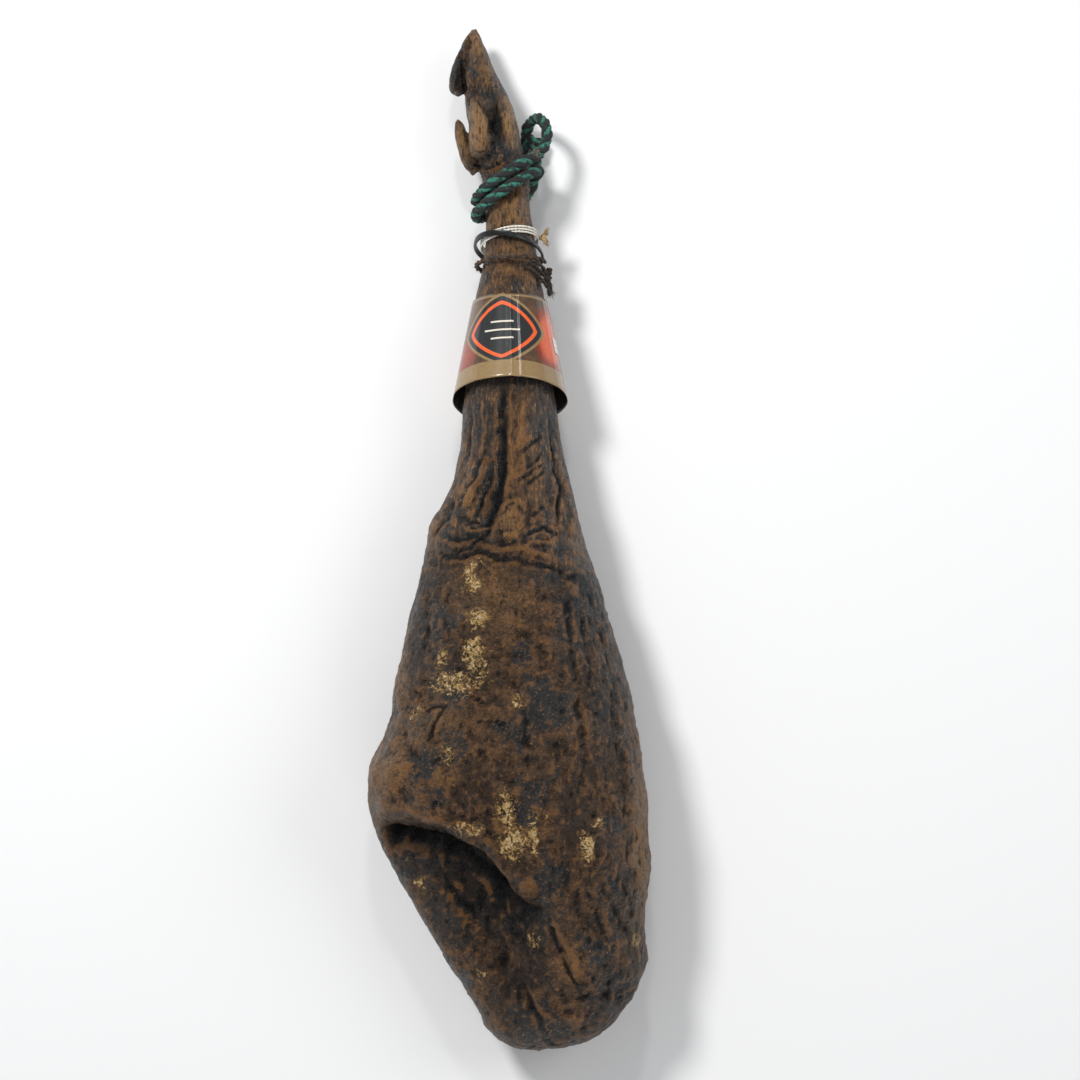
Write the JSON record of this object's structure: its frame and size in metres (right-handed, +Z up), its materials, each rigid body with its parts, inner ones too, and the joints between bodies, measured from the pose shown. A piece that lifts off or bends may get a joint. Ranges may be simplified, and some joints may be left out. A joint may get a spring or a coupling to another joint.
{
  "type": "cured ham",
  "caption": "Whole cured ham leg with hoof, laid on its outer side, with rope, string, band, twine and a printed sleeve round the shank.",
  "frame": {"origin": "on the floor under the middle of the ham's box, seen from above, without the rope, string and twine", "axes": "+Z up, the ham's inner face; +Y along the leg towards the hoof; +X across it, to the right when looking along +Y from above"},
  "size_m": [0.222, 0.818, 0.143],
  "materials": {
    "cured": "dry cured surface with mould bloom, rough",
    "rope": "twisted charcoal and teal rope",
    "string": "white cotton string",
    "tag": "frayed tan twist",
    "band": "black, half glossy",
    "twine": "rough brown twine",
    "sleeve": "glossy printed card",
    "sticker": "plain white sticker"
  },
  "bodies": {
    "root": {"ham": "cured", "hanging_rope": "rope", "white_string": "string", "string_tag": "tag", "black_band": "band", "brown_twine": "twine", "twine_knot": "twine", "label_sleeve": "sleeve", "sleeve_sticker": "sticker"}
  },
  "joints": []
}
